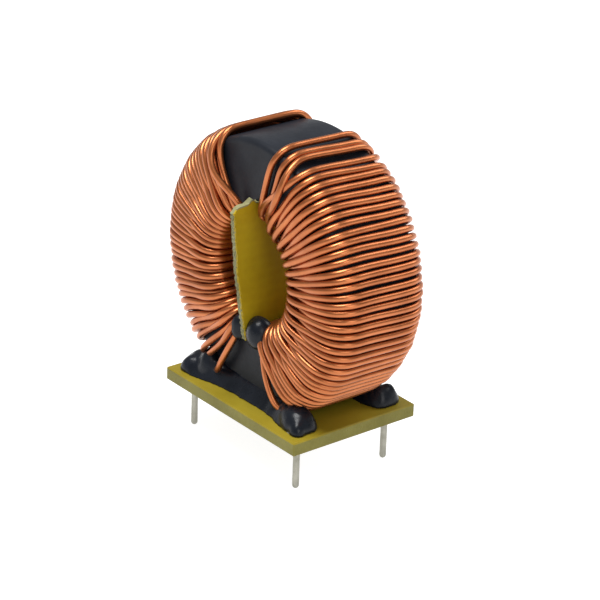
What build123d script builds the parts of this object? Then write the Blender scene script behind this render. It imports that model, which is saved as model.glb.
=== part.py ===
from build123d import *
import os
from math import cos, radians, sin, sqrt

# Common mode choke: two copper windings on one ferrite ring, standing on a pinned base board.
# Millimetres. X runs along the board, Y along the ring's axis with the front at -Y, Z up.
# The origin is the middle of the board's underside, where the choke seats on a circuit board.

# Base board and its four pins
BOARD_LENGTH = 30.0
BOARD_WIDTH = 22.0
BOARD_THICKNESS = 2.0
BOARD_EDGE_BREAK = 0.15
PIN_DIAMETER = 1.0
PIN_TIN_THICKNESS = 0.02
PIN_TIN_STOP = 0.12
PIN_SPACING_X = 24.0
PIN_SPACING_Y = 16.0
PIN_BELOW_BOARD = 7.0
PIN_ABOVE_BOARD = 1.2
PIN_HOLE_CLEARANCE = 0.02

# Ferrite ring and the lacquer coat baked on it
FERRITE_OUTER_DIAMETER = 38.1
FERRITE_BORE_DIAMETER = 19.05
FERRITE_HEIGHT = 12.7
FERRITE_EDGE_RADIUS = 0.6
COAT_THICKNESS = 0.35
GLUE_LINE = 0.1

# Winding wire
WIRE_DIAMETER = 0.95
WIRE_SIDES = 6
WIRE_CLEARANCE = 0.05
LAYER_STEP = 1.12
OUTER_STAND_OFF = 0.58
FACE_STAND_OFF = 0.23
OUTER_BEND_RADIUS = 2.0
OUTER_BEND_STEPS = 3
BORE_BEND_STEPS = 2

# Turns, counted from the foot of the ring to its crown; angles in degrees above the ring's centre
TURNS_PER_LAYER = 20
FOOT_ANGLE = -63.5
BORE_FOOT_ANGLE = -75.0
BORE_CROWN_ANGLE = 74.0
BORE_CROWN_GAP = 7.0
RIGHT_CROWN_ANGLE = 60.7
RIGHT_CROWN_GAPS = (6.4, 3.5, 5.1)
LEFT_CROWN_ANGLE = 59.6
LEFT_CROWN_GAPS = (3.5, 3.4, 3.5)

# Leads from the windings down to the pins
LEAD_TURN_ANGLE = -67.5
LEAD_TURN_RADIUS = 19.5
LEAD_HEIGHT = 0.78
LEAD_TO_PIN_GAP = 0.02

# Divider plate between the windings: a tongue through the bore and a taller flange in front
DIVIDER_THICKNESS = 1.0
DIVIDER_CLEARANCE = 0.06
DIVIDER_BACK_REACH = 2.2
FLANGE_ABOVE_BORE = 2.4
FLANGE_BELOW_BORE = 0.75
FLANGE_REACH_TOP = 4.4
FLANGE_REACH_MIDDLE = 3.4
FLANGE_REACH_BOTTOM = 1.8
FLANGE_CORNER_CUT = 1.0

# Solder at the pins, and the black epoxy that fixes the ring, the leads and the divider
SOLDER_FOOT_RADIUS = 1.6
SOLDER_TOP_RADIUS = 0.8
SOLDER_HEIGHT = 1.45
FOOT_RADIUS = 2.45
FOOT_TOP_RADIUS = 1.0
FOOT_HEIGHT = 3.0
FOOT_ROUNDING = 0.7
BEAD_REACH = 1.8
BEAD_HEIGHT = 2.6
BEAD_HALF_LENGTH = 10.6
BEAD_ROUNDING = 1.2
BEAD_UNDER_RING = 3.5
BEAD_UNDER_HALF_LENGTH = 6.2
BORE_DROP_WIDTH = 4.0
BORE_DROP_DEPTH = 4.2
BORE_DROP_HEIGHT = 4.0
BORE_DROP_CHAMFER = 1.15
BORE_DROP_OFFSET_X = 1.6
BORE_DROP_STAND_OUT = 0.5
BORE_DROP_RISE = 0.6

# Places that follow from the sizes above
WIRE_RADIUS = WIRE_DIAMETER / 2
TURNS = 2 * TURNS_PER_LAYER
COAT_RADIUS = FERRITE_OUTER_DIAMETER / 2 + COAT_THICKNESS
COAT_BORE_RADIUS = FERRITE_BORE_DIAMETER / 2 - COAT_THICKNESS
COAT_FACE = FERRITE_HEIGHT / 2 + COAT_THICKNESS
COAT_EDGE_RADIUS = FERRITE_EDGE_RADIUS + COAT_THICKNESS
RING_CENTRE_Z = BOARD_THICKNESS + GLUE_LINE + COAT_RADIUS
WIRE_SEAT = WIRE_RADIUS + WIRE_CLEARANCE
PIN_PLACES = {
    "front_left": (-PIN_SPACING_X / 2, -PIN_SPACING_Y / 2),
    "front_right": (PIN_SPACING_X / 2, -PIN_SPACING_Y / 2),
    "back_left": (-PIN_SPACING_X / 2, PIN_SPACING_Y / 2),
    "back_right": (PIN_SPACING_X / 2, PIN_SPACING_Y / 2),
}


def base_board():
    """Glass-fibre board with a drilled hole for each pin and lightly broken edges."""
    board = Pos(0, 0, BOARD_THICKNESS / 2) * Box(BOARD_LENGTH, BOARD_WIDTH, BOARD_THICKNESS)
    board = chamfer(board.edges(), BOARD_EDGE_BREAK)
    hole_radius = PIN_DIAMETER / 2 - PIN_TIN_THICKNESS + PIN_HOLE_CLEARANCE
    for x, y in PIN_PLACES.values():
        board -= Pos(x, y, BOARD_THICKNESS / 2) * Cylinder(hole_radius, 2 * BOARD_THICKNESS)
    return board


def pin(place):
    """Round pin with a round nose; its tin coat stops just short of the board's underside."""
    x, y = PIN_PLACES[place]
    radius = PIN_DIAMETER / 2
    bare_radius = radius - PIN_TIN_THICKNESS
    bottom = -PIN_BELOW_BOARD
    top = BOARD_THICKNESS + PIN_ABOVE_BOARD
    nose = RadiusArc((0, bottom), (radius, bottom + radius), -radius)
    sides = Polyline(
        (radius, bottom + radius),
        (radius, -PIN_TIN_STOP),
        (bare_radius, -PIN_TIN_STOP),
        (bare_radius, top),
        (0, top),
        (0, bottom),
    )
    profile = Plane.XZ * make_face(nose + sides)
    return Pos(x, y, 0) * revolve(profile, Axis.Z)


def ring(outer_radius, bore_radius, half_height, edge_radius):
    """Ring lying round the Y axis, turned from a rounded rectangle."""
    wall = outer_radius - bore_radius
    section = Pos(bore_radius + wall / 2, 0) * RectangleRounded(wall, 2 * half_height, edge_radius)
    return Pos(0, 0, RING_CENTRE_Z) * revolve(section, Axis.Y)


def ferrite_ring():
    """Bare sintered ring."""
    return ring(
        FERRITE_OUTER_DIAMETER / 2,
        FERRITE_BORE_DIAMETER / 2,
        FERRITE_HEIGHT / 2,
        FERRITE_EDGE_RADIUS,
    )


def ring_envelope():
    """Outer form of the coated ring, also used to cut what is cast against it."""
    return ring(COAT_RADIUS, COAT_BORE_RADIUS, COAT_FACE, COAT_EDGE_RADIUS)


def turn_angles(crown_angle, crown_gaps):
    """Angle of each turn on the outside of the ring: even spacing, then the hand-wound crown."""
    even = TURNS - 1 - len(crown_gaps)
    pitch = (crown_angle - FOOT_ANGLE) / even
    angles = [FOOT_ANGLE + pitch * turn for turn in range(even + 1)]
    for gap in crown_gaps:
        angles.append(angles[-1] + gap)
    return angles


def bore_angle(place):
    """Angle of a place inside the bore, where the turns spread a little wider."""
    if place == TURNS - 1:
        return BORE_CROWN_ANGLE + BORE_CROWN_GAP
    return BORE_FOOT_ANGLE + (BORE_CROWN_ANGLE - BORE_FOOT_ANGLE) * place / (TURNS - 2)


def around(radius, y, angle):
    """Point at a radius and angle about the ring's axis."""
    return Vector(
        radius * cos(radians(angle)),
        y,
        RING_CENTRE_Z + radius * sin(radians(angle)),
    )


def bend(centre_radius, centre_y, bend_radius, steps, start):
    """Corners of a bend as (radius, y), its flats tangent to an arc that turns from start by 90."""
    step = 90 / steps
    reach = bend_radius / cos(radians(step / 2))
    angles = [start + step * (index + 0.5) for index in range(steps)]
    return [
        (centre_radius + reach * cos(radians(angle)), centre_y + reach * sin(radians(angle)))
        for angle in angles
    ]


def outer_bends():
    """Bends of a turn over the ring's outer corners, back then front, as (radius, y)."""
    straight = COAT_RADIUS + WIRE_SEAT + OUTER_STAND_OFF
    face = COAT_FACE + WIRE_SEAT + FACE_STAND_OFF
    centre_radius = straight - OUTER_BEND_RADIUS
    centre_y = face - OUTER_BEND_RADIUS
    back = bend(centre_radius, centre_y, OUTER_BEND_RADIUS, OUTER_BEND_STEPS, 0)
    front = [(radius, -y) for radius, y in back]
    return back[::-1], front


def bore_bends(layer):
    """Bends of a turn into the bore, front then back; layer 0 hugs the coat, 1 rides over it."""
    bend_radius = COAT_EDGE_RADIUS + WIRE_SEAT + layer * LAYER_STEP
    centre_radius = COAT_BORE_RADIUS + COAT_EDGE_RADIUS
    centre_y = COAT_FACE - COAT_EDGE_RADIUS
    back = bend(centre_radius, centre_y, bend_radius, BORE_BEND_STEPS, 90)
    front = [(radius, -y) for radius, y in back]
    return front, back[::-1]


def winding_path(angles):
    """Corners of one winding's wire from its front pin to its back pin.

    The wire starts at the foot, climbs to the crown on every second place as the first layer, and
    comes back down the places between as the second layer, so both ends are at the foot. It crosses
    from place to place inside the bore, where the two layers lie one over the other.
    """
    outer_back, outer_front = outer_bends()
    climbing = list(range(0, TURNS, 2))
    returning = list(range(TURNS - 1, 0, -2))
    places = climbing + returning
    path = lead_path(-1)
    for number, place in enumerate(places):
        layer = 0 if number < TURNS_PER_LAYER else 1
        following = places[number + 1] if number + 1 < TURNS else -1
        if number > 0:
            path += [around(radius, y, angles[place]) for radius, y in outer_back + outer_front]
        bore_front, bore_back = bore_bends(layer)
        path += [around(radius, y, bore_angle(place)) for radius, y in bore_front]
        path += [around(radius, y, bore_angle(following)) for radius, y in bore_back]
    return path + lead_path(1)[::-1]


def lead_path(side):
    """Lead from beside a pin stub up to the face of the ring; side is -1 in front, 1 behind."""
    pin_x = PIN_SPACING_X / 2
    end_x = pin_x - PIN_DIAMETER / 2 - WIRE_RADIUS - LEAD_TO_PIN_GAP
    end = Vector(end_x, side * PIN_SPACING_Y / 2, BOARD_THICKNESS + LEAD_HEIGHT)
    face = COAT_FACE + WIRE_SEAT + FACE_STAND_OFF
    return [end, around(LEAD_TURN_RADIUS, side * face, LEAD_TURN_ANGLE)]


def wire(path):
    """Enamelled wire along a path of straight runs with mitred corners."""
    start = Plane(origin=path[0], z_dir=path[1] - path[0])
    section = start * RegularPolygon(WIRE_RADIUS, WIRE_SIDES)
    return sweep(section, Polyline(*path), transition=Transition.RIGHT)


def mirrored(path):
    """The same path on the other side of the divider plate."""
    return [Vector(-corner.X, corner.Y, corner.Z) for corner in path]


def divider_plate():
    """Glass-fibre plate between the windings, cut by hand, so its front edge leans."""
    half_bore = sqrt(COAT_BORE_RADIUS**2 - (DIVIDER_THICKNESS / 2) ** 2) - DIVIDER_CLEARANCE
    face = -COAT_FACE - DIVIDER_CLEARANCE
    top = COAT_BORE_RADIUS + FLANGE_ABOVE_BORE
    bottom = -COAT_BORE_RADIUS - FLANGE_BELOW_BORE
    outline = [
        (face, half_bore),
        (face, top),
        (face - FLANGE_REACH_TOP + FLANGE_CORNER_CUT, top),
        (face - FLANGE_REACH_TOP, top - FLANGE_CORNER_CUT),
        (face - FLANGE_REACH_MIDDLE, 0),
        (face - FLANGE_REACH_BOTTOM, bottom),
        (face, bottom),
        (face, -half_bore),
        (COAT_FACE + DIVIDER_BACK_REACH, -half_bore),
        (COAT_FACE + DIVIDER_BACK_REACH, half_bore),
    ]
    sheet = make_face(Polyline(*[Vector(0, y, RING_CENTRE_Z + z) for y, z in outline], close=True))
    return extrude(sheet, DIVIDER_THICKNESS / 2, dir=(1, 0, 0), both=True)


def solder(place, around_it):
    """Fillet of solder that joins a pin stub to the end of its lead."""
    x, y = PIN_PLACES[place]
    middle = BOARD_THICKNESS + SOLDER_HEIGHT / 2
    cone = Pos(x, y, middle) * Cone(SOLDER_FOOT_RADIUS, SOLDER_TOP_RADIUS, SOLDER_HEIGHT)
    return largest(cone - around_it)


def largest(cut):
    """The biggest solid left by a cut, without its loose crumbs."""
    return cut.solids().sort_by(SortBy.VOLUME)[-1]


def epoxy_blank(side):
    """Epoxy before it is cut: a drop over each pin and a bead along the foot of the ring."""
    bead_y = side * (COAT_FACE + (BEAD_REACH - WIRE_DIAMETER) / 2)
    bead = Pos(0, bead_y, BOARD_THICKNESS + BEAD_HEIGHT / 2) * Box(
        2 * BEAD_HALF_LENGTH, BEAD_REACH + WIRE_DIAMETER, BEAD_HEIGHT
    )
    outer_edges = bead.edges().filter_by(Axis.X).group_by(Axis.Z)[-1].sort_by(Axis.Y)
    bead = fillet(outer_edges[0 if side < 0 else -1], BEAD_ROUNDING)
    under_y = side * (COAT_FACE - BEAD_UNDER_RING / 2)
    blank = bead + Pos(0, under_y, BOARD_THICKNESS + BEAD_HEIGHT / 2) * Box(
        2 * BEAD_UNDER_HALF_LENGTH, BEAD_UNDER_RING, BEAD_HEIGHT
    )
    drop = Cone(FOOT_RADIUS, FOOT_TOP_RADIUS, FOOT_HEIGHT)
    drop = fillet(drop.edges().sort_by(Axis.Z)[-1], FOOT_ROUNDING)
    for pin_side in (-1, 1):
        x = pin_side * PIN_SPACING_X / 2
        y = side * PIN_SPACING_Y / 2
        blank += Pos(x, y, BOARD_THICKNESS + FOOT_HEIGHT / 2) * drop
    return blank


def bore_drop(side):
    """Drop of epoxy between the divider plate and the foot of the bore, before it is cut."""
    y = side * (COAT_FACE + BORE_DROP_STAND_OUT)
    z = RING_CENTRE_Z - COAT_BORE_RADIUS + BORE_DROP_RISE
    drop = Box(BORE_DROP_WIDTH, BORE_DROP_DEPTH, BORE_DROP_HEIGHT)
    return Pos(BORE_DROP_OFFSET_X, y, z) * chamfer(drop.edges(), BORE_DROP_CHAMFER)


def build():
    """Every node of the part by name."""
    path_right = winding_path(turn_angles(RIGHT_CROWN_ANGLE, RIGHT_CROWN_GAPS))
    path_left = mirrored(winding_path(turn_angles(LEFT_CROWN_ANGLE, LEFT_CROWN_GAPS)))
    envelope = ring_envelope()
    nodes = {
        "base_board": base_board(),
        "ferrite_ring": ferrite_ring(),
        "winding_right": wire(path_right),
        "winding_left": wire(path_left),
        "divider_plate": divider_plate(),
    }
    nodes["ring_coating"] = envelope - nodes["ferrite_ring"]
    for place in PIN_PLACES:
        nodes["pin_" + place] = pin(place)
        winding = nodes["winding_right" if place.endswith("right") else "winding_left"]
        nodes["solder_" + place] = solder(place, [nodes["pin_" + place], winding])
    for side, name in ((-1, "front"), (1, "back")):
        cast_round = [envelope, nodes["divider_plate"]]
        cast_round += [nodes["winding_left"], nodes["winding_right"]]
        for place in (name + "_left", name + "_right"):
            cast_round += [nodes["pin_" + place], nodes["solder_" + place]]
        nodes["epoxy_" + name] = largest(epoxy_blank(side) - cast_round)
        nodes["epoxy_bore_" + name] = largest(bore_drop(side) - cast_round)
    return nodes


if __name__ == "__main__":
    os.makedirs("parts", exist_ok=True)
    for name, solid in build().items():
        export_step(solid, "parts/" + name + ".step")
        print(name, round(solid.volume, 2))
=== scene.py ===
# %% [markdown]
# # Dressing a toroidal common mode choke
# The choke is two hand-wound coils of enamelled copper wire on one lacquered ferrite ring, which stands
# on a small glass-fibre board with four pins. A second sheet of glass fibre keeps the coils apart in the
# bore, and black epoxy holds ring, leads and board together. The solids come from the CAD model as a
# fixed frame. This lesson puts the real surfaces round them: round wire, cast epoxy, sawn board edges.

# %% Load the frame
import bpy
import numpy as np
from mathutils import Matrix


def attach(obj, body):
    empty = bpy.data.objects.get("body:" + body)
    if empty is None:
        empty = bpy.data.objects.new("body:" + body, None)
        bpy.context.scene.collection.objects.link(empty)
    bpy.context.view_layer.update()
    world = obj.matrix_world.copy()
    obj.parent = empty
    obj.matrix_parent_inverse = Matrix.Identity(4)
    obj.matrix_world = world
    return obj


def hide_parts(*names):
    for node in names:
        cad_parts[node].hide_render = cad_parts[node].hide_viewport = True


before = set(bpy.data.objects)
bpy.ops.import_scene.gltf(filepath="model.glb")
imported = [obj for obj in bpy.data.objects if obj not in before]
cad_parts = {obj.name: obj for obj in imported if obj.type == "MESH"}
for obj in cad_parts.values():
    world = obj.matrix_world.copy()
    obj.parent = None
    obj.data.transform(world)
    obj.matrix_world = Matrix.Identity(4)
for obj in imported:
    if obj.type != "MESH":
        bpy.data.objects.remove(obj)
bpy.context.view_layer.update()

# %% [markdown]
# The sizes are those of the CAD model, in millimetres. The ring's axis runs along Y through the centre
# named here, so most places are given as a radius, an angle above +X and a depth along Y.

# %% Sizes shared by the pieces
MM = 0.001
BOARD_TOP = 2.0
RING_CENTRE_Z = 21.5
COAT_RADIUS = 19.4
COAT_BORE_RADIUS = 9.175
COAT_FACE = 6.7
COAT_EDGE_RADIUS = 0.95
WIRE_DIAMETER = 0.99
WIRE_SEAT = 0.51
FLOOR_Z = -7.0
rng = np.random.default_rng(40)


def polar(radius, angle, depth):
    """Points at radius times cos and sin of an angle in degrees about the ring's axis, and a depth in Y."""
    radius, angle, depth = np.broadcast_arrays(radius, np.radians(angle), depth)
    return np.stack(
        [radius * np.cos(angle), depth, RING_CENTRE_Z + radius * np.sin(angle)], axis=-1
    )


print("ring centre:", polar(0.0, 0.0, 0.0))

# %% [markdown]
# Every new piece is a grid of points: rows in one direction, columns in the other, and a quad between
# each four neighbours. A tube or a drop closes on itself, so its last column joins the first again.
# Open ends get one flat face. The points go into the mesh in metres, and the object stays at the origin.

# %% Grids into faces


def grid_faces(rows, columns, wrap_rows=False, wrap_columns=True, caps=False):
    """Corner numbers of the quads of a grid, facing the way column direction times row direction points."""
    row, column = np.meshgrid(
        np.arange(rows if wrap_rows else rows - 1),
        np.arange(columns if wrap_columns else columns - 1),
        indexing="ij",
    )
    next_row, next_column = (row + 1) % rows, (column + 1) % columns
    corners = [
        row * columns + column,
        row * columns + next_column,
        next_row * columns + next_column,
        next_row * columns + column,
    ]
    faces = np.stack(corners, axis=-1).reshape(-1, 4).tolist()
    if caps:
        faces.append(list(range(columns))[::-1])
        faces.append(list(range((rows - 1) * columns, rows * columns)))
    return faces


print("a closed strip of 3 rows and 4 columns has", len(grid_faces(3, 4)), "faces")

# %% [markdown]
# Each piece goes into the same frame as the CAD model and rides on its root body. It is told which material
# it shows and which solids it stands for, so that those are hidden.

# %% Points and faces into a piece


def add_piece(name, points, faces, material, nodes=(), smooth=True):
    """Makes one object from points in millimetres and tells the frame what it stands for."""
    mesh = bpy.data.meshes.new(name)
    mesh.from_pydata((points.reshape(-1, 3) * MM).tolist(), [], faces)
    mesh.validate()
    mesh.polygons.foreach_set("use_smooth", np.full(len(mesh.polygons), smooth))
    mesh.materials.append(material)
    piece = bpy.data.objects.new(name, mesh)
    bpy.context.scene.collection.objects.link(piece)
    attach(piece, "root")
    if nodes:
        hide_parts(*nodes)
    print(name, "has", len(mesh.vertices), "points and", len(mesh.polygons), "faces")
    return piece


print("pieces are made by add_piece")

# %% [markdown]
# A material is a short chain of nodes on Object coordinates, so its pattern has a real size and stays
# on the piece from every side. The helper below keeps each chain to a few lines.

# %% Material helpers


def new_material(name, **constants):
    """A material with its shader's constants set on the shader's own sockets."""
    material = bpy.data.materials.new(name)
    material.use_nodes = True
    shader = material.node_tree.nodes["Principled BSDF"]
    for socket, value in constants.items():
        shader.inputs[socket.replace("_", " ")].default_value = value
    print("material", name)
    return material, material.node_tree, shader


def add_node(tree, kind, inputs=None, **settings):
    """Adds a node, sets its settings, and fills its inputs with numbers or links."""
    node = tree.nodes.new(kind)
    for key, value in settings.items():
        setattr(node, key, value)
    for key, value in (inputs or {}).items():
        if isinstance(value, bpy.types.NodeSocket):
            tree.links.new(value, node.inputs[key])
        else:
            node.inputs[key].default_value = value
    return node


def object_coordinates(tree, scale=(1.0, 1.0, 1.0)):
    """Object coordinates stretched by a scale per axis."""
    source = add_node(tree, "ShaderNodeTexCoord")
    mapping = add_node(tree, "ShaderNodeMapping", {"Vector": source.outputs["Object"], "Scale": scale})
    return mapping.outputs["Vector"]


print("material helpers ready")

# %% [markdown]
# Two things make a surface look real: a tone that wanders slowly, and a fine roughness. Both come from
# noise, which needs no picture and has no seam. A ramp turns it into colours, and a bump into fine relief.

# %% Patterns for the materials


def noise(tree, scale, vector, detail=3.0, roughness=0.5):
    """Grey noise between 0 and 1; scale counts features per metre."""
    node = add_node(
        tree,
        "ShaderNodeTexNoise",
        {"Vector": vector, "Scale": scale, "Detail": detail, "Roughness": roughness},
    )
    return node.outputs["Fac"]


def ramp(tree, factor, *stops):
    """Colours at positions along a factor, as (position, colour) pairs."""
    node = add_node(tree, "ShaderNodeValToRGB", {"Fac": factor})
    elements = node.color_ramp.elements
    for index, (position, colour) in enumerate(stops):
        element = elements[index] if index < 2 else elements.new(position)
        element.position = position
        element.color = (*colour, 1.0)
    return node.outputs["Color"]


def to_range(tree, factor, low, high):
    """A factor from 0 to 1 stretched to the range from low to high."""
    node = add_node(
        tree, "ShaderNodeMapRange", {"Value": factor, "To Min": low, "To Max": high}
    )
    return node.outputs["Result"]


def bump(tree, shader, height, strength, distance):
    """Small relief on the shader's normal; distance is the relief's height in metres."""
    node = add_node(
        tree, "ShaderNodeBump", {"Height": height, "Strength": strength, "Distance": distance}
    )
    tree.links.new(node.outputs["Normal"], shader.inputs["Normal"])


print("patterns ready")

# %% [markdown]
# ## The camera
# The camera was fitted to the photograph's board corners, pin tips and ring outline: a long lens nearly
# 400 mm away, about 24 degrees above the horizon and about 51 degrees to the right of the front. It could
# be aimed with a constraint, but then its small roll would be lost, so its matrix is written out.

# %% The camera
CAMERA_AZIMUTH, CAMERA_ELEVATION, CAMERA_ROLL = np.radians([50.826, 24.472, 1.960])
CAMERA_DISTANCE = 391.368
CAMERA_TARGET = np.array([2.490, -0.579, 16.560])
IMAGE_SIZE = 600
FOCAL_PIXELS = 2768.8
SENSOR_WIDTH = 36.0

back = np.array(
    [
        np.sin(CAMERA_AZIMUTH) * np.cos(CAMERA_ELEVATION),
        -np.cos(CAMERA_AZIMUTH) * np.cos(CAMERA_ELEVATION),
        np.sin(CAMERA_ELEVATION),
    ]
)
level_right = np.cross(-back, [0.0, 0.0, 1.0])
level_right /= np.linalg.norm(level_right)
level_up = np.cross(level_right, -back)
right = np.cos(CAMERA_ROLL) * level_right + np.sin(CAMERA_ROLL) * level_up
up = np.cos(CAMERA_ROLL) * level_up - np.sin(CAMERA_ROLL) * level_right

lens = bpy.data.cameras.new("camera")
lens.sensor_fit = "HORIZONTAL"
lens.sensor_width = SENSOR_WIDTH
lens.lens = FOCAL_PIXELS * SENSOR_WIDTH / IMAGE_SIZE
camera = bpy.data.objects.new("camera", lens)
camera.matrix_world = (
    Matrix.Translation(MM * (CAMERA_TARGET + CAMERA_DISTANCE * back))
    @ Matrix(np.column_stack([right, up, back]).tolist()).to_4x4()
)
bpy.context.scene.collection.objects.link(camera)
bpy.context.scene.camera = camera
print("lens in millimetres:", round(lens.lens, 1))

# %% [markdown]
# ## Enamelled copper
# Magnet wire is bright copper under a clear baked varnish, which makes it browner and a little orange.
# A metal shader under a thin coat gives the soft copper glints and the sharper varnish ones. Slow noise
# moves the tone along the wire, because varnish thickness varies. One flat colour would look like plastic.

# %% The copper material
copper, tree, shader = new_material(
    "enamelled_copper", Metallic=0.88, Coat_Weight=0.12, Coat_Roughness=0.2, Coat_IOR=1.5
)
place = object_coordinates(tree)
tone = noise(tree, 260.0, place)
colour = ramp(tree, tone, (0.3, (0.40, 0.122, 0.040)), (0.72, (0.55, 0.178, 0.062)))
tree.links.new(colour, shader.inputs["Base Color"])
fine = noise(tree, 2200.0, place)
tree.links.new(to_range(tree, fine, 0.26, 0.38), shader.inputs["Roughness"])
bump(tree, shader, fine, 0.25, 0.00004)

# %% [markdown]
# ## The windings
# Each winding is one wire. It starts at the front pin, climbs the ring on every second place as a first
# layer, and returns on the places between as a second layer that rides over the first inside the bore.
# A turn is a loop round the ring's section: an outer run, a bend, the front face, a bend into the bore,
# the bore, a bend out, the back face and a bend back. The wire is too stiff to lie flat on a face, so it
# arches a little off it between the bends. Hand winding shows in the small differences between the turns,
# so angle, stand-off and lean vary a little, the same on every run, and the last four turns at the crown
# have values of their own, because there the wires cross one another. A curve with a round bevel could
# make the tube too, but it twists at tight bends, so here both the line and the tube are worked out.
#
# Places are numbered from the foot of the ring to its crown, and all angles are in degrees above +X. Each
# hand is a small table. foot and crown are the outer angles where the even spacing starts and ends, and
# foot_gaps and gaps are the wider steps below and above it. bore, bow and lean are read off at the outer
# angles in at: where the turn enters the bore, how far it bows aside on the face, and how far it leans on
# the outside. The lists whose names start with last hold the four turns nearest the crown, and foot_out
# moves the first turns off the ring.

# %% Sizes of a turn
TURNS_PER_LAYER = 20
TURNS = 2 * TURNS_PER_LAYER
LAYER_STEP = 0.76
CROSSING_STEP = 1.0
CLIMB_RADIUS = 15.0
OUTER_RADIUS = 20.42
STAND_OFF = 7.4
OUTER_BEND = 2.9
BEND_STEPS = 9
FACE_STEPS = 20
RUN_STEPS = 14
ARCH = 0.75
LEAD_ANGLE = -67.5
LEAD_RADIUS = 19.3
LEAD_BELOW = (8.6, 6.9, 2.6)
LEAD_END = (11.0, 8.0, 2.78)
LEAD_BORE_STEP = 3.0
BORE_BEND_CENTRE = (COAT_BORE_RADIUS + COAT_EDGE_RADIUS, COAT_FACE - COAT_EDGE_RADIUS)
BORE_BEND = COAT_EDGE_RADIUS + WIRE_SEAT
MIRROR_X = np.array([-1.0, 1.0, 1.0])
MIRROR_Y = np.array([1.0, -1.0, 1.0])

# Spread of the differences between turns: bell curves in degrees and millimetres, then plain ranges
OUTER_ANGLE_SPREAD = 0.16
BORE_ANGLE_SPREAD = 0.25
ARCH_SPREAD = 0.07
LEAN_SPREAD = 0.15
OUTER_RANGE = (-0.05, 0.05)
STAND_OFF_RANGE = (-0.08, 0.1)
RIGHT_SEED, LEFT_SEED = 11, 23

RIGHT_HAND = {
    "foot": -63.5,
    "foot_gaps": (),
    "crown": 61.3,
    "gaps": (6.8, 2.9, 5.7),
    "at": (-63.5, -48.5, -28.0, -5.0, 21.0, 41.6, 57.3),
    "bore": (-75.0, -58.0, -37.0, -10.0, 18.0, 40.5, 61.5),
    "bow": (0.0, 0.0, 0.0, 0.0, 0.0, 0.0, 0.0),
    "lean": (0.6, 0.6, 0.6, 0.6, 0.6, 0.6, 0.6),
    "last_bore": (82.0, 70.5, 72.5, 80.5),
    "last_bow": (-4.4, -7.0, -0.2, 0.3),
    "last_arch": (0.9, 1.6, 0.0, 0.2),
    "last_lift": (0.0, 0.0, 0.0, 0.2),
    "foot_out": (0.0, 0.0, 0.0),
}
LEFT_HAND = {
    "foot": -62.0,
    "foot_gaps": (3.2, 3.2, 5.8),
    "crown": 59.4,
    "gaps": (3.2, 2.8, 3.5),
    "at": (-63.5, -58.8, -55.6, -49.0, -36.0, -10.0, 10.0, 36.0, 56.0),
    "bore": (-75.5, -71.8, -66.0, -63.0, -51.0, -14.0, 8.0, 31.0, 50.0),
    "bow": (0.0, 0.0, 1.5, 2.5, 4.5, 1.0, 0.0, 0.0, 0.0),
    "lean": (0.6, 0.6, 0.6, 0.6, 0.6, 0.3, 0.0, -1.0, -2.0),
    "last_bore": (53.0, 57.5, 73.6, 61.5),
    "last_bow": (0.0, -1.0, -6.3, -2.9),
    "last_arch": (0.7, 0.6, 1.7, 0.0),
    "last_lift": (0.0, 0.3, 0.0, 0.0),
    "foot_out": (0.4, 0.5, 0.7),
}


def smooth_step(share):
    """Three times the square less twice the cube: rises from 0 to 1 with level ends."""
    return share * share * (3.0 - 2.0 * share)


def places_of(hand):
    """Outer and bore angle, bow, lean, lift and arch of each place, from the foot to the crown."""
    start = hand["foot"] + np.append(0.0, np.cumsum(hand["foot_gaps"]))
    even = np.linspace(start[-1], hand["crown"], TURNS - len(hand["gaps"]) - len(start) + 1)
    outer = np.concatenate([start, even[1:], hand["crown"] + np.cumsum(hand["gaps"])])
    bore, bow, lean = (np.interp(outer, hand["at"], hand[key]) for key in ("bore", "bow", "lean"))
    lift = (np.arange(TURNS) % 2).astype(float)
    arch = np.full(TURNS, ARCH)
    last = slice(-len(hand["last_bore"]), None)
    bore[last], bow[last] = hand["last_bore"], hand["last_bow"]
    arch[last], lift[last] = hand["last_arch"], hand["last_lift"]
    return outer, bore, bow, lean, lift, arch


print("outer angles run from", places_of(RIGHT_HAND)[0][0], "to", places_of(RIGHT_HAND)[0][-1])

# %% Half a turn


def rows_of(*values):
    """The values, numbers or lists, each as one column with a row for every turn."""
    return [value.reshape(-1, 1) for value in np.broadcast_arrays(*map(np.atleast_1d, values))]


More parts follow.
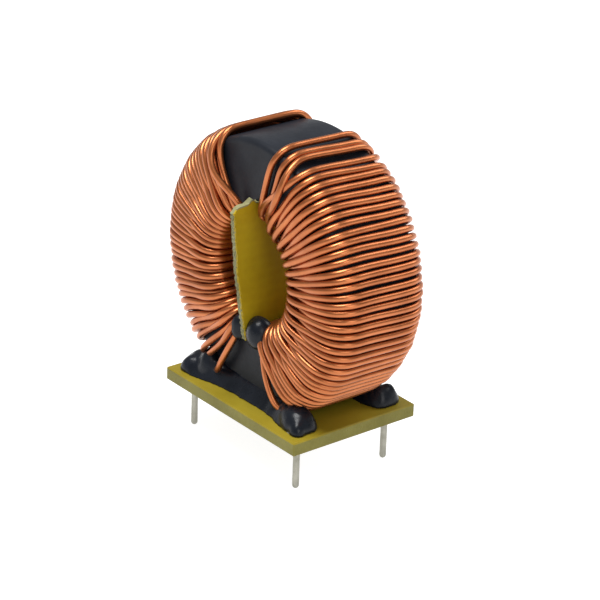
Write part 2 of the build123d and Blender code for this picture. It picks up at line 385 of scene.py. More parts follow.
def half_turn(outer, stand_off, lift, arch, angle, bore_angle, bow):
    """Bend, front face and bend into the bore, one row a turn.

    With share as the length walked over the whole length, the angle is angle + (bore_angle - angle) *
    smooth_step(share) + bow * sin(pi * share) squared, and the wire stands off the face by arch times the
    same sine squared, as stiff wire does. A lift of 1 raises the wire by one layer near the bore.
    """
    outer, stand_off, lift, arch, angle, bore_angle, bow = rows_of(
        outer, stand_off, lift, arch, angle, bore_angle, bow
    )
    sweep = np.radians(np.linspace(0.0, 90.0, BEND_STEPS))[None]
    across = np.linspace(0.0, 1.0, FACE_STEPS + 2)[None, 1:-1]
    centre_radius, centre_depth = BORE_BEND_CENTRE
    first_radius, last_depth = outer - OUTER_BEND, centre_depth + BORE_BEND
    bend = BORE_BEND + LAYER_STEP * lift
    radius = np.concatenate(
        [
            first_radius + OUTER_BEND * np.cos(sweep),
            first_radius + (centre_radius - first_radius) * across,
            centre_radius - bend * np.sin(sweep),
        ],
        axis=1,
    )
    climb = (CLIMB_RADIUS - radius) / (CLIMB_RADIUS - centre_radius)
    climb = smooth_step(np.clip(climb, 0.0, 1.0))
    depth = np.concatenate(
        [
            stand_off - OUTER_BEND * (1 - np.sin(sweep)),
            stand_off + (last_depth - stand_off) * smooth_step(across),
            centre_depth + bend * np.cos(sweep) - LAYER_STEP * lift,
        ],
        axis=1,
    )
    depth = depth + LAYER_STEP * lift * climb
    step = np.hypot(*(np.diff(value, axis=1, prepend=value[:, :1]) for value in (radius, depth)))
    share = np.cumsum(step, axis=1) / np.sum(step, axis=1, keepdims=True)
    hump = np.sin(np.pi * share) ** 2
    turned = angle + (bore_angle - angle) * smooth_step(share) + bow * hump
    return polar(radius, turned, -depth - arch * hump)


print("bend into the bore:", BORE_BEND, "mm")

# %% Runs along the axis


def run(radius, from_angle, to_angle, from_depth, sag=0.0):
    """Run along the ring's axis from one depth to its opposite.

    The angle eases from end to end by smooth_step(share), and the radius is less by sag * sin(pi * share).
    """
    share = np.linspace(0.0, 1.0, RUN_STEPS + 2)[None, 1:-1]
    radius, from_angle, to_angle, from_depth, sag = rows_of(
        radius, from_angle, to_angle, from_depth, sag
    )
    angle = from_angle + (to_angle - from_angle) * smooth_step(share)
    return polar(radius - sag * np.sin(np.pi * share), angle, from_depth - 2 * from_depth * share)


print("a run has", len(run(1.0, 0.0, 0.0, 1.0)[0]), "points")

# %% [markdown]
# One winding joins the parts in the order in which the wire passes them: first lead, then for each turn
# the back face, the outer run, the front face and the run in the bore, and last the other lead. The back
# face is the front one mirrored and walked the other way.

# %% The line of a winding


def winding_path(hand, seed):
    """Points along one winding on the +X side, from the front pin to the back pin."""
    varied = np.random.default_rng(seed)
    outer_angle, bore_angle, bow, lean, lift, arch = places_of(hand)
    outer_angle = outer_angle + varied.normal(0.0, OUTER_ANGLE_SPREAD, TURNS)
    bore_angle = bore_angle + varied.normal(0.0, BORE_ANGLE_SPREAD, TURNS)
    arch = arch + varied.normal(0.0, ARCH_SPREAD, TURNS)
    lean = lean + varied.normal(0.0, LEAN_SPREAD, TURNS)
    outer = OUTER_RADIUS + varied.uniform(*OUTER_RANGE, TURNS)
    outer[: len(hand["foot_out"])] += hand["foot_out"]
    stand_off = STAND_OFF + varied.uniform(*STAND_OFF_RANGE, TURNS)

    # Up the ring on the even places, down again on the odd ones; there is the next turn's bore angle.
    order = np.concatenate([np.arange(0, TURNS, 2), np.arange(TURNS - 1, 0, -2)])
    outer_angle, here, bow, lean = outer_angle[order], bore_angle[order], bow[order], lean[order]
    lift, arch, outer, stand_off = lift[order], arch[order], outer[order], stand_off[order]
    there = np.append(here[1:], here[0] - LEAD_BORE_STEP)

    front = half_turn(outer, stand_off, lift, arch, outer_angle + lean, here, bow)
    back_angle = (outer_angle - lean)[1:]
    behind = half_turn(outer[1:], stand_off[1:], lift[:-1], ARCH, back_angle, there[:-1], 0.0)
    behind = (behind * MIRROR_Y)[:, ::-1]
    over = run(outer, outer_angle - lean, outer_angle + lean, stand_off - OUTER_BEND)
    bore_radius = BORE_BEND_CENTRE[0] - BORE_BEND - LAYER_STEP * lift
    crossing = (CROSSING_STEP - LAYER_STEP) * (lift > 0.5)
    inside = run(bore_radius, here, there, -BORE_BEND_CENTRE[1], crossing)

    # The two leads come straight from the bore over the face to the pins.
    ends = half_turn(
        LEAD_RADIUS + OUTER_BEND, STAND_OFF, [0, 1], ARCH, LEAD_ANGLE, [here[0], there[-1]], 0.0
    )
    ends = ends[:, BEND_STEPS:]
    below = np.array([LEAD_END, LEAD_BELOW])
    middle = np.concatenate([behind, over[1:], front[1:], inside[1:]], axis=1).reshape(-1, 3)
    parts = [below * MIRROR_Y, ends[0], inside[0], middle, (ends[1] * MIRROR_Y)[::-1], below[::-1]]
    return np.concatenate(parts)


right_path = winding_path(RIGHT_HAND, RIGHT_SEED)
left_path = winding_path(LEFT_HAND, LEFT_SEED) * MIRROR_X
print("points on the right winding's line:", len(right_path))

# %% [markdown]
# The line is then walked in equal steps and lightly averaged with its neighbours, which rounds what is
# left of the corners as a stiff wire does. A ring of points across it at every step makes the tube. The
# ring needs a direction that is never along the wire: on the turns that is the way round the ring, and
# near the pins, where the lead runs that way, it turns towards Y.

# %% Tubes along a line
TUBE_SIDES = 10
TUBE_STEP = 0.42
SOFTENING_STEPS = 1.3
TWIST_FROM, TWIST_LENGTH = 9.0, 6.0


def even_line(line, step):
    """The same line, walked in equal steps."""
    length = np.append(0.0, np.cumsum(np.linalg.norm(np.diff(line, axis=0), axis=1)))
    places = np.linspace(0.0, length[-1], int(length[-1] / step))
    return np.stack([np.interp(places, length, line[:, axis]) for axis in range(3)], axis=-1)


def softened(line, steps):
    """The line averaged with its neighbours under a bell curve, with its ends kept."""
    reach = int(4 * steps)  # beyond four times its width the bell is all but zero
    bell = np.exp(-0.5 * (np.arange(-reach, reach + 1) / steps) ** 2)
    padded = np.pad(line, ((reach, reach), (0, 0)), mode="edge")
    columns = [np.convolve(padded[:, axis], bell / bell.sum(), mode="valid") for axis in range(3)]
    return np.stack(columns, axis=-1)


def tube(line, radius, across):
    """Round tube: each point plus radius times cos of one cross direction and sin of the other.

    The first cross direction is across, made square to the line.
    """
    along = np.gradient(line, axis=0)
    along /= np.linalg.norm(along, axis=1, keepdims=True)
    side = across - np.sum(across * along, axis=1, keepdims=True) * along
    side /= np.linalg.norm(side, axis=1, keepdims=True)
    other = np.cross(along, side)
    turn = 2 * np.pi * np.arange(TUBE_SIDES)[None, :, None] / TUBE_SIDES
    return line[:, None] + radius * (np.cos(turn) * side[:, None] + np.sin(turn) * other[:, None])


def round_the_ring(line):
    """Direction round the ring's axis at each point, turned towards Y near the leads."""
    angle = np.arctan2(line[:, 2] - RING_CENTRE_Z, line[:, 0])
    way_round = np.stack([-np.sin(angle), np.zeros(len(line)), np.cos(angle)], axis=-1)
    nearest_end = np.minimum(np.arange(len(line)), np.arange(len(line))[::-1]) * TUBE_STEP
    share = np.clip((TWIST_FROM - nearest_end) / TWIST_LENGTH, 0.0, 1.0)
    turned = 0.5 * np.pi * smooth_step(share)[:, None]
    return np.cos(turned) * way_round + np.sin(turned) * np.array([0.0, 1.0, 0.0])


for name, path in (("winding_right", right_path), ("winding_left", left_path)):
    line = softened(even_line(path, TUBE_STEP), SOFTENING_STEPS)
    wire = tube(line, WIRE_DIAMETER / 2, round_the_ring(line))
    faces = grid_faces(len(line), TUBE_SIDES, caps=True)
    add_piece(name + "_wire", wire, faces, copper, [name])

# %% [markdown]
# ## The lacquered ring
# A ferrite ring is pressed and sintered with a small edge radius and then dipped or sprayed black, so
# its surface is satin and a little uneven. It is a rounded rectangle turned about the axis, with slow
# waves of about a hundredth of a millimetre. A turned profile could be a Screw modifier as well, but the
# waves need the angle and the section together, and a grid has both.

# %% The lacquer material
lacquer, tree, shader = new_material("ring_lacquer", Specular_IOR_Level=0.16)
place = object_coordinates(tree)
colour = ramp(
    tree, noise(tree, 350.0, place, 5.0), (0.3, (0.010, 0.012, 0.017)), (0.75, (0.018, 0.021, 0.028))
)
tree.links.new(colour, shader.inputs["Base Color"])
orange_peel = noise(tree, 1500.0, place)
tree.links.new(to_range(tree, orange_peel, 0.34, 0.5), shader.inputs["Roughness"])
bump(tree, shader, orange_peel, 0.3, 0.00005)

# %% The ring


def rounded_rectangle(half_width, half_height, corner, corner_steps=9, side_steps=7):
    """Loop of (x, y) that turns to the left: four quarter arcs joined by straight sides."""
    sweep = np.linspace(0.0, 0.5 * np.pi, corner_steps)
    signs = np.array([[1, 1], [-1, 1], [-1, -1], [1, -1]])
    turns = 0.5 * np.pi * np.arange(4)
    centre = signs * [half_width - corner, half_height - corner]
    arcs = np.stack([np.cos(turns[:, None] + sweep), np.sin(turns[:, None] + sweep)], axis=-1)
    arcs = centre[:, None] + corner * arcs
    share = np.linspace(0.0, 1.0, side_steps + 2)[1:-1, None]
    sides = arcs[:, -1:] + (np.roll(arcs, -1, axis=0)[:, :1] - arcs[:, -1:]) * share
    return np.concatenate([arcs, sides], axis=1).reshape(-1, 2)


RING_STEPS = 180
COAT_INSET = 0.03
# Height in millimetres, waves round the ring, and radians for each millimetre of depth or of radius
DEPTH_WAVES, RADIUS_WAVES = (0.012, 7, 0.5), (0.01, 11, 0.7)
RADIUS_WAVES_START = 40

section = rounded_rectangle(
    (COAT_RADIUS - COAT_BORE_RADIUS) / 2, COAT_FACE, COAT_EDGE_RADIUS
) + [(COAT_RADIUS + COAT_BORE_RADIUS) / 2, 0.0]
ring_angle = 360.0 * np.arange(RING_STEPS)[:, None] / RING_STEPS
height, count, pace = DEPTH_WAVES
waves = height * np.sin(np.radians(count * ring_angle)) * np.sin(pace * section[None, :, 1])
height, count, pace = RADIUS_WAVES
turned = np.radians(count * ring_angle + RADIUS_WAVES_START)
waves = waves + height * np.sin(turned) * np.cos(pace * section[None, :, 0])
ring_points = polar(section[None, :, 0] - COAT_INSET + waves, ring_angle, section[None, :, 1])
faces = grid_faces(RING_STEPS, len(section), wrap_rows=True)
add_piece("ring_lacquer_coat", ring_points, faces, lacquer, ["ring_coating"])

# %% [markdown]
# ## Glass fibre
# The board and the divider are the same yellow glass-fibre laminate. Its weave shows faintly through
# the resin, and where it was sawn the broken fibres scatter light, so the edges are paler and rough. The
# sawn edges have a material of their own, with less yellow resin and no weave. The board's own solid is
# kept, because a flat sheet with drilled holes is right as it is. Only its materials are new.

# %% The laminate materials


def laminate(name, low, high, weave_share, rough_height):
    """Yellow laminate: crossed wave patterns make the weave, slow noise clouds the resin."""
    material, tree, shader = new_material(name, Specular_IOR_Level=0.3)
    place = object_coordinates(tree)
    weave = [
        add_node(
            tree,
            "ShaderNodeTexWave",
            {"Vector": place, "Scale": 210.0, "Distortion": 2.5, "Detail": 2.0},
            bands_direction=direction,
        ).outputs["Fac"]
        for direction in ("X", "Y", "Z")
    ]
    crossed = add_node(tree, "ShaderNodeMath", {0: weave[0], 1: weave[1]}, operation="MULTIPLY")
    crossed = add_node(
        tree, "ShaderNodeMath", {0: crossed.outputs[0], 1: weave[2]}, operation="MAXIMUM"
    ).outputs[0]
    cloud = noise(tree, 130.0, place, 6.0, 0.6)
    mixed = add_node(
        tree, "ShaderNodeMath", {0: crossed, 1: weave_share, 2: cloud}, operation="MULTIPLY_ADD"
    ).outputs[0]
    tree.links.new(ramp(tree, mixed, (0.3, low), (0.8, high)), shader.inputs["Base Color"])
    fine = noise(tree, 2600.0, place, 5.0, 0.6)
    tree.links.new(to_range(tree, fine, 0.36, 0.55), shader.inputs["Roughness"])
    bump(tree, shader, fine, 0.6, rough_height)
    return material


board_laminate = laminate(
    "board_laminate", (0.235, 0.178, 0.009), (0.35, 0.27, 0.020), 0.08, 0.00002
)
divider_laminate = laminate(
    "divider_laminate", (0.40, 0.275, 0.006), (0.55, 0.40, 0.012), 0.07, 0.00003
)
board_edge = laminate("board_sawn_edge", (0.19, 0.165, 0.02), (0.36, 0.325, 0.075), 0.0, 0.00012)
divider_edge = laminate("divider_sawn_edge", (0.20, 0.19, 0.06), (0.46, 0.45, 0.26), 0.0, 0.00015)

# %% The base board keeps its CAD solid
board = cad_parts["base_board"]
board.data.materials.clear()
for material in (board_laminate, board_edge):
    board.data.materials.append(material)
for face in board.data.polygons:
    face.material_index = int(abs(face.normal.z) < 0.5)
print("board faces:", len(board.data.polygons))

# %% [markdown]
# ## The divider plate
# The divider is a T of laminate cut by hand: a tongue through the bore and a taller flange in front, whose
# edge leans back towards its foot. At each height it is a flat bar, so it is built as rows of bars up the
# plate. A row that repeats its height with another depth makes the step from flange to tongue. The front
# edge is moved in and out by small random steps, as a hand saw leaves it, and the top has one torn peak. An
# extruded outline could not be rough on its edge alone.

# %% Rows of bars for the divider
DIVIDER_HALF = 0.5
TONGUE_HALF = 9.09
TONGUE_BACK = 8.9
FLANGE_BACK = -6.78
FLANGE_TOP = 11.575
FLANGE_FOOT = -9.925
FLANGE_FRONT = ([FLANGE_FOOT, 0.0, 10.575, FLANGE_TOP], [-8.56, -10.16, -11.16, -10.46])
FOOT_ROWS, TONGUE_ROWS, HEAD_ROWS = 8, 130, 26
EDGE_COLUMNS, SIDE_COLUMNS = 7, 14
TOP_INSET = 0.15

heights = np.concatenate(
    [
        np.linspace(FLANGE_FOOT, -TONGUE_HALF, FOOT_ROWS),
        np.linspace(-TONGUE_HALF, TONGUE_HALF, TONGUE_ROWS),
        np.linspace(TONGUE_HALF, FLANGE_TOP - TOP_INSET, HEAD_ROWS),
    ]
)
backs = np.repeat([FLANGE_BACK, TONGUE_BACK, FLANGE_BACK], [FOOT_ROWS, TONGUE_ROWS, HEAD_ROWS])
fronts = np.interp(heights, *FLANGE_FRONT)
across = np.linspace(-DIVIDER_HALF, DIVIDER_HALF, EDGE_COLUMNS)
along = np.linspace(0.0, 1.0, SIDE_COLUMNS + 2)[1:-1]
x = np.concatenate([across, np.full(SIDE_COLUMNS, DIVIDER_HALF)])
x = np.concatenate([x, -x])
share = np.concatenate([np.zeros(EDGE_COLUMNS), along, np.ones(EDGE_COLUMNS), along[::-1]])
y = fronts[:, None] + (backs - fronts)[:, None] * share
z = np.broadcast_to(heights[:, None], y.shape)
print("divider rows and columns:", y.shape)

# %% The divider's sawn edge and torn top
SAW_SPREAD = 0.045
SAW_INSET = 0.06
SAW_RISE = 0.6
HEAD_START, HEAD_LENGTH = 0.2, 2.1
PEAK_DEPTH, PEAK_WIDTH, PEAK_HEIGHT = -7.9, 0.5, 0.62
CORNER_DEPTH, CORNER_SLOPE = -10.0, 0.35
HEAD_TAPER = 0.12

# Each row's front edge moves by a random step, averaged with its neighbours. The top is a bell-shaped peak
# over a lower edge, which slopes down past the corner's depth; near_top is 0 below the head and 1 on top.
sawn = rng.normal(0.0, SAW_SPREAD, y.shape)
sawn = sawn + 0.5 * np.roll(sawn, 1, axis=0) + 0.5 * np.roll(sawn, -1, axis=0)
y = y + (sawn + SAW_INSET) * (share == 0)
near_top = np.clip((heights - TONGUE_HALF - HEAD_START) / HEAD_LENGTH, 0.0, 1.0)
near_top = smooth_step(near_top)[:, None]
peak = PEAK_HEIGHT * np.exp(-(((y - PEAK_DEPTH) / PEAK_WIDTH) ** 2)) - PEAK_HEIGHT
peak = peak - CORNER_SLOPE * np.clip(CORNER_DEPTH - y, 0.0, 1.0)
z = z + near_top * (peak + SAW_RISE * sawn)
x = x[None] * (1 - HEAD_TAPER * near_top) + np.zeros_like(y)
plate = np.stack([x, y, RING_CENTRE_Z + z], axis=-1)
print("sawn edge moves by up to", round(float(np.abs(sawn).max()), 2), "mm")

# %% The divider
SAWN_COLUMNS, SAWN_TOP_ROWS = 4, 2
faces = grid_faces(*y.shape, caps=True)
divider = add_piece(
    "divider_sheet", plate, faces, divider_laminate, ["divider_plate"], smooth=False
)
divider.data.materials.append(divider_edge)
rows = len(heights) - 1
front_faces = np.tile(np.arange(y.shape[1]) < SAWN_COLUMNS, rows)
top_faces = np.repeat(np.arange(rows) >= rows - SAWN_TOP_ROWS, y.shape[1])
is_edge = np.concatenate([front_faces | top_faces, [True, True]])
divider.data.polygons.foreach_set("material_index", is_edge.astype(int))

# %% [markdown]
# ## The pins
# The pins are round tinned wire with a rounded nose. Dip tinning leaves a slightly wavy surface, so below
# the board the radius is less by a sine of the height. A cylinder with a bevel would be as good for the
# body, but not for the waves. The solder under the epoxy keeps its solids and takes the same metal.

# %% The tin material
tin, tree, shader = new_material("tinned_pin", Metallic=0.9)
place = object_coordinates(tree)
cloud = noise(tree, 500.0, place, 4.0)
tree.links.new(
    ramp(tree, cloud, (0.3, (0.24, 0.235, 0.19)), (0.75, (0.46, 0.45, 0.39))),
    shader.inputs["Base Color"],
)
tree.links.new(to_range(tree, cloud, 0.35, 0.55), shader.inputs["Roughness"])
bump(tree, shader, noise(tree, 1800.0, place), 0.3, 0.00006)

# %% The profile of a pin
PIN_X, PIN_Y = 12.0, 8.0
PIN_RADIUS = 0.5
PIN_TOP = 3.2
PIN_SIDES = 20
PIN_STEPS = 40
PIN_INSET = 0.01
NOSE_TIP_RADIUS = 0.02
NOSE_END = 0.7
WAVE_HEIGHT = 0.02
WAVE_PACE_RANGE, WAVE_START_RANGE = (1.5, 2.5), (0, 6)
pin_places = {
    "front_left": (-PIN_X, -PIN_Y),
    "front_right": (PIN_X, -PIN_Y),
    "back_left": (-PIN_X, PIN_Y),
    "back_right": (PIN_X, PIN_Y),
}
nose = np.linspace(0.0, 0.5 * np.pi, 8)
body_radius = PIN_RADIUS - PIN_INSET
pin_radius = np.concatenate(
    [
        NOSE_TIP_RADIUS + (body_radius - NOSE_TIP_RADIUS) * np.sin(nose),
        np.full(PIN_STEPS, body_radius),
    ]
)
pin_height = np.concatenate(
    [
        FLOOR_Z + PIN_RADIUS * (1 - np.cos(nose)),
        np.linspace(FLOOR_Z + NOSE_END, PIN_TOP, PIN_STEPS),
    ]
)
pin_turn = 2 * np.pi * np.arange(PIN_SIDES) / PIN_SIDES
print("pins reach from", pin_height[0], "to", pin_height[-1], "mm")

# %% The pins and their solder
for name, (x, y) in pin_places.items():
    wave = np.sin(pin_height * rng.uniform(*WAVE_PACE_RANGE) + rng.uniform(*WAVE_START_RANGE))
    wave = wave * (pin_height < 0)
    radius = (pin_radius * (1 - WAVE_HEIGHT * np.abs(wave)))[:, None]
    points = np.stack(
        np.broadcast_arrays(
            x + radius * np.cos(pin_turn), y + radius * np.sin(pin_turn), pin_height[:, None]
        ),
        axis=-1,
    )
    faces = grid_faces(len(pin_height), PIN_SIDES, caps=True)
    add_piece("tinned_pin_" + name, points, faces, tin, ["pin_" + name])
    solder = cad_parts["solder_" + name]
    solder.data.materials.clear()
    solder.data.materials.append(tin)

# %% [markdown]
# ## The ferrite
# The ferrite under the lacquer is never seen, but a cut model or another use may show it: dull, dark grey
# and finely grained. Its solid is plain and right already, so it only gets a material.

# %% The hidden ferrite
ferrite, tree, shader = new_material("ferrite", Roughness=0.8)
grain = noise(tree, 3000.0, object_coordinates(tree))
tree.links.new(
    ramp(tree, grain, (0.3, (0.02, 0.02, 0.022)), (0.7, (0.04, 0.04, 0.043))),
    shader.inputs["Base Color"],
)
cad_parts["ferrite_ring"].data.materials.clear()
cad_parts["ferrite_ring"].data.materials.append(ferrite)

# %% [markdown]
# ## The epoxy
# Thick black epoxy is trowelled along the foot of the ring and over the leads at the pins, and it sets
# with a glossy, rounded, slightly lumpy skin. Each mass is built from simple round forms that overlap: a
# mound along the board, given by its section at a few stations, and domes over the pins and the leads. A
# voxel remesh fuses them, and a little smoothing draws the joins together as surface tension does. A
# poured fluid could be simulated too, but it is slow and gives no say over where a drop ends.

# %% The epoxy material
epoxy, tree, shader = new_material("black_epoxy", Specular_IOR_Level=0.22)
place = object_coordinates(tree)
colour = ramp(
    tree, noise(tree, 400.0, place), (0.3, (0.005, 0.007, 0.011)), (0.75, (0.011, 0.014, 0.021))
)
tree.links.new(colour, shader.inputs["Base Color"])
tree.links.new(to_range(tree, noise(tree, 700.0, place), 0.18, 0.40), shader.inputs["Roughness"])
bump(tree, shader, noise(tree, 700.0, place, 3.0, 0.5), 0.5, 0.0002)

# %% Round forms for the epoxy
DROP_ROWS, DROP_COLUMNS = 22, 28
MOUND_STEPS, MOUND_SHARES = 150, 21
MOUND_BOTTOM = -0.3
MOUND_LEAST = 0.05
MOUND_SKEW, MOUND_FULLNESS = 1.3, 0.8
TOE_RIPPLE, HEIGHT_RIPPLE, RIPPLE_STEPS = 0.22, 0.07, 3.0


def drop(centre, size, lumps=0.06):
    """Closed drop: centre plus half sizes times the cos and sin of a sphere's angles, with slow lumps."""
    rise = np.linspace(-0.5 * np.pi, 0.5 * np.pi, DROP_ROWS)[:, None]
    turn = 2 * np.pi * np.arange(DROP_COLUMNS)[None] / DROP_COLUMNS
    phase = rng.uniform(0, 2 * np.pi, 3)
    swell = 1 + lumps * np.sin(2 * turn + phase[0]) * np.cos(rise)
    swell = swell + lumps * np.sin(3 * turn + phase[1]) * np.cos(rise) ** 2
    unit = np.stack(
        np.broadcast_arrays(np.cos(rise) * np.cos(turn), np.cos(rise) * np.sin(turn), np.sin(rise)),
        axis=-1,
    )
    return np.asarray(centre) + np.asarray(size) * unit * swell[..., None]


def mound(side, stations):
    """Closed mound along X from stations (x, toe depth, back depth, height).

    Across it, the height is its own times the sine of pi * share ** MOUND_SKEW, to the power MOUND_FULLNESS,
    where share goes from toe to back, so it slopes up from the toe and falls steeply behind. Slow noise
    moves toe and height.
    """
    stations = np.array(stations, float)
    x = np.linspace(stations[0, 0], stations[-1, 0], MOUND_STEPS)
    toe, back, height = (np.interp(x, stations[:, 0], stations[:, column]) for column in (1, 2, 3))
    ripple = softened(rng.normal(0.0, 1.0, (len(x), 3)), RIPPLE_STEPS)
    toe = toe + TOE_RIPPLE * ripple[:, 0]
    height = np.maximum(height * (1 + HEIGHT_RIPPLE * ripple[:, 1]), MOUND_LEAST)
    share = np.linspace(0.0, 1.0, MOUND_SHARES)
    top = np.sin(np.pi * share**MOUND_SKEW) ** MOUND_FULLNESS
    shares = np.concatenate([share, share[-2:0:-1]])
    bottom = np.full((len(x), MOUND_SHARES - 2), MOUND_BOTTOM)
    level = np.concatenate([height[:, None] * top, bottom], axis=1)
    depth = toe[:, None] + (back - toe)[:, None] * shares
    points = np.stack([x[:, None] + 0 * depth, depth, BOARD_TOP + level], axis=-1)
    # Mirrored to the front, the columns run the other way, so that the faces still look outward.
    return points[:, ::-1] * MIRROR_Y if side < 0 else points


print("a mound has", MOUND_STEPS, "sections")

# %% Forms into one skin of epoxy
VOXEL_SIZE = 0.2
MELT_FACTOR, MELT_ROUNDS = 0.5, 22


def epoxy_piece(name, forms, nodes, low):
    """Joins the forms in one mesh, flattens them at a level, fuses them by voxels and smooths them."""
    points, faces, count = [], [], 0
    for form in forms:
        rows, columns = form.shape[:2]
        quads = grid_faces(rows, columns, caps=True)
        faces += [[corner + count for corner in face] for face in quads]
        flat = form.reshape(-1, 3).copy()
        flat[:, 2] = np.maximum(flat[:, 2], low)
        points.append(flat)
        count += len(flat)
    piece = add_piece(name, np.concatenate(points), faces, epoxy, nodes)
    fuse = piece.modifiers.new("fuse", "REMESH")
    fuse.mode = "VOXEL"
    fuse.voxel_size = VOXEL_SIZE * MM
    fuse.use_smooth_shade = True
    melt = piece.modifiers.new("melt", "SMOOTH")
    melt.factor = MELT_FACTOR
    melt.iterations = MELT_ROUNDS
    return piece


print("voxel size in millimetres:", VOXEL_SIZE)

# %% [markdown]
# Each station of a mound is x, toe depth, back depth and height, and each dome is x, depth and its half
# sizes. Depths are distances from the middle, so the same numbers serve the front and the back.

# %% The epoxy along the board
FRONT_STATIONS = [
    (-14.6, 8.2, 7.4, 0.2), (-14.1, 9.2, 6.0, 1.5), (-12.6, 9.9, 4.8, 2.8), (-10.8, 10.3, 4.6, 3.1),
    (-9.2, 9.8, 4.6, 3.0), (-7.2, 9.1, 4.6, 2.6), (-2.9, 8.6, 4.6, 2.3), (4.3, 8.4, 4.6, 2.3),
    (7.0, 8.8, 4.6, 2.7), (9.1, 9.4, 4.6, 3.1), (11.4, 9.6, 4.6, 3.2), (12.6, 9.4, 4.8, 2.6),
    (13.5, 8.1, 5.6, 1.3), (13.9, 7.2, 6.4, 0.2),
]
BACK_STATIONS = [
    (-14.0, 7.8, 7.0, 0.2), (-13.2, 9.6, 5.6, 1.7), (-12.0, 10.1, 4.8, 2.8), (-9.5, 9.4, 4.6, 2.4),
    (-5.0, 8.5, 4.6, 2.0), (4.0, 8.4, 4.6, 2.1), (8.8, 9.0, 4.6, 2.4), (11.0, 9.9, 4.6, 2.7),
    (12.4, 10.0, 5.0, 2.9), (13.3, 9.3, 5.4, 1.9), (13.9, 8.0, 6.6, 0.2),
]
FRONT_DOMES = [
    (-12.0, 7.9, (2.3, 2.1, 2.4)), (-9.6, 7.0, (2.6, 1.9, 4.1)), (-7.6, 7.0, (1.6, 1.4, 3.0)),
    (10.8, 7.6, (3.0, 2.1, 2.9)), (12.1, 8.1, (1.9, 1.8, 2.0)), (7.9, 7.0, (1.5, 1.3, 2.9)),
]
BACK_DOMES = [
    (-12.0, 7.9, (2.2, 2.1, 2.9)), (-9.2, 7.3, (2.0, 1.5, 3.0)), (9.2, 7.3, (2.0, 1.5, 2.8)),
    (11.9, 7.8, (2.3, 2.1, 2.5)), (12.5, 7.9, (1.2, 1.3, 3.2)), (7.6, 7.0, (1.5, 1.3, 2.8)),
    (-7.6, 7.0, (1.5, 1.3, 2.7)),
]
EPOXY_SINK = 0.06
for side, name, stations, domes in (
    (-1, "front", FRONT_STATIONS, FRONT_DOMES),
    (1, "back", BACK_STATIONS, BACK_DOMES),
):
    forms = [mound(side, stations)]
    forms += [drop((x, side * y, BOARD_TOP), size, 0.1) for x, y, size in domes]
    epoxy_piece("epoxy_" + name + "_cast", forms, ["epoxy_" + name], BOARD_TOP - EPOXY_SINK)

# %% [markdown]
# In the bore a large drop holds the divider on its right side, with smaller runs round it. The drops are
# given by centre and half sizes, and the same ones serve the back.

# %% The epoxy in the bore
for side, name in ((-1, "front"), (1, "back")):
    forms = [
        drop((1.85, side * 7.2, 12.9), (2.25, 2.1, 2.5), 0.05),
        drop((2.2, side * 6.9, 11.4), (2.5, 1.0, 1.3), 0.12),
        drop((3.6, side * 6.9, 12.2), (1.3, 1.1, 1.6), 0.12),
        drop((-2.4, side * 7.1, 12.2), (1.6, 1.3, 2.1), 0.12),
        drop((1.0, side * 6.0, 12.0), (2.4, 1.6, 1.3)),
    ]
    epoxy_piece("epoxy_bore_" + name + "_cast", forms, ["epoxy_bore_" + name], 0.0)

# %% [markdown]
# ## Light and background
# The photograph is a soft studio shot on white. Large lamps give long gentle glints along the wires. The
# floor and its walls look white to the camera and in reflections but light nothing, so they make no glare.
# A picture of a studio could light the choke as well, but lamps can be moved one by one.

# %% Lights
LIGHT_TARGET = np.array([0.0, 0.0, 0.018])


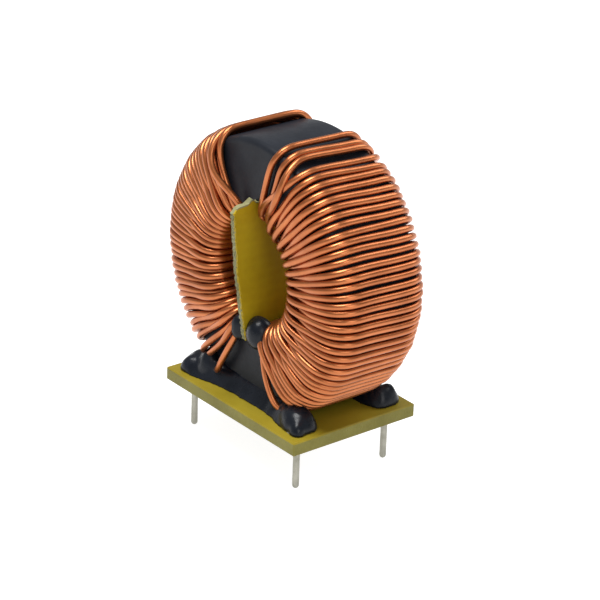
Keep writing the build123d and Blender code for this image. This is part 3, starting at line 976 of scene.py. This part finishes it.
def area_light(name, place, size, power):
    """Square lamp of a size in metres that looks at the choke."""
    lamp = bpy.data.lights.new(name, "AREA")
    lamp.size = size
    lamp.energy = power
    light = bpy.data.objects.new(name, lamp)
    away = np.array(place) - LIGHT_TARGET
    away /= np.linalg.norm(away)
    side = np.cross([0.0, 0.0, 1.0], away)
    side /= np.linalg.norm(side)
    turned = Matrix(np.column_stack([side, np.cross(away, side), away]).tolist()).to_4x4()
    light.matrix_world = Matrix.Translation(place) @ turned
    bpy.context.scene.collection.objects.link(light)


area_light("key", (-0.04, -0.11, 0.48), 0.24, 2.5)
area_light("fill", (0.44, -0.12, 0.24), 0.26, 0.55)
area_light("rim", (0.05, 0.35, 0.34), 0.30, 0.9)
print("three lamps")

# %% World
WORLD_LEVEL = 0.38

world = bpy.data.worlds.new("studio")
bpy.context.scene.world = world
world.use_nodes = True
background = world.node_tree.nodes["Background"]
background.inputs["Color"].default_value = (1.0, 1.0, 1.0, 1.0)
background.inputs["Strength"].default_value = WORLD_LEVEL
print("world strength:", WORLD_LEVEL)

# %% The floor's material
FLOOR_GLOW = 0.9

floor_material, tree, shader = new_material("pale_floor", Roughness=0.9, Specular_IOR_Level=0.1)
shader.inputs["Base Color"].default_value = (0.45, 0.45, 0.45, 1.0)
shader.inputs["Emission Color"].default_value = (1.0, 1.0, 1.0, 1.0)
path = add_node(tree, "ShaderNodeLightPath")
seen = path.outputs["Is Camera Ray"]
for ray in ("Is Glossy Ray", "Is Transmission Ray"):
    seen = add_node(
        tree, "ShaderNodeMath", {0: seen, 1: path.outputs[ray]}, operation="MAXIMUM"
    ).outputs[0]
tree.links.new(to_range(tree, seen, 0.0, FLOOR_GLOW), shader.inputs["Emission Strength"])

# %% The floor and its walls
FLOOR_REACH = 3.0
WALL_TOP = 0.5

floor_mesh = bpy.data.meshes.new("floor")
square = [(-FLOOR_REACH, -FLOOR_REACH), (FLOOR_REACH, -FLOOR_REACH)]
square += [(FLOOR_REACH, FLOOR_REACH), (-FLOOR_REACH, FLOOR_REACH)]
corners = [(x, y, level) for level in (FLOOR_Z * MM, WALL_TOP) for x, y in square]
walls = [((side + 1) % 4, side, side + 4, (side + 1) % 4 + 4) for side in range(4)]
floor_mesh.from_pydata(corners, [], [(0, 1, 2, 3), *walls])
floor_mesh.materials.append(floor_material)
floor = bpy.data.objects.new("floor", floor_mesh)
bpy.context.scene.collection.objects.link(floor)

bpy.context.scene.view_settings.view_transform = "Standard"
print("stage ready")
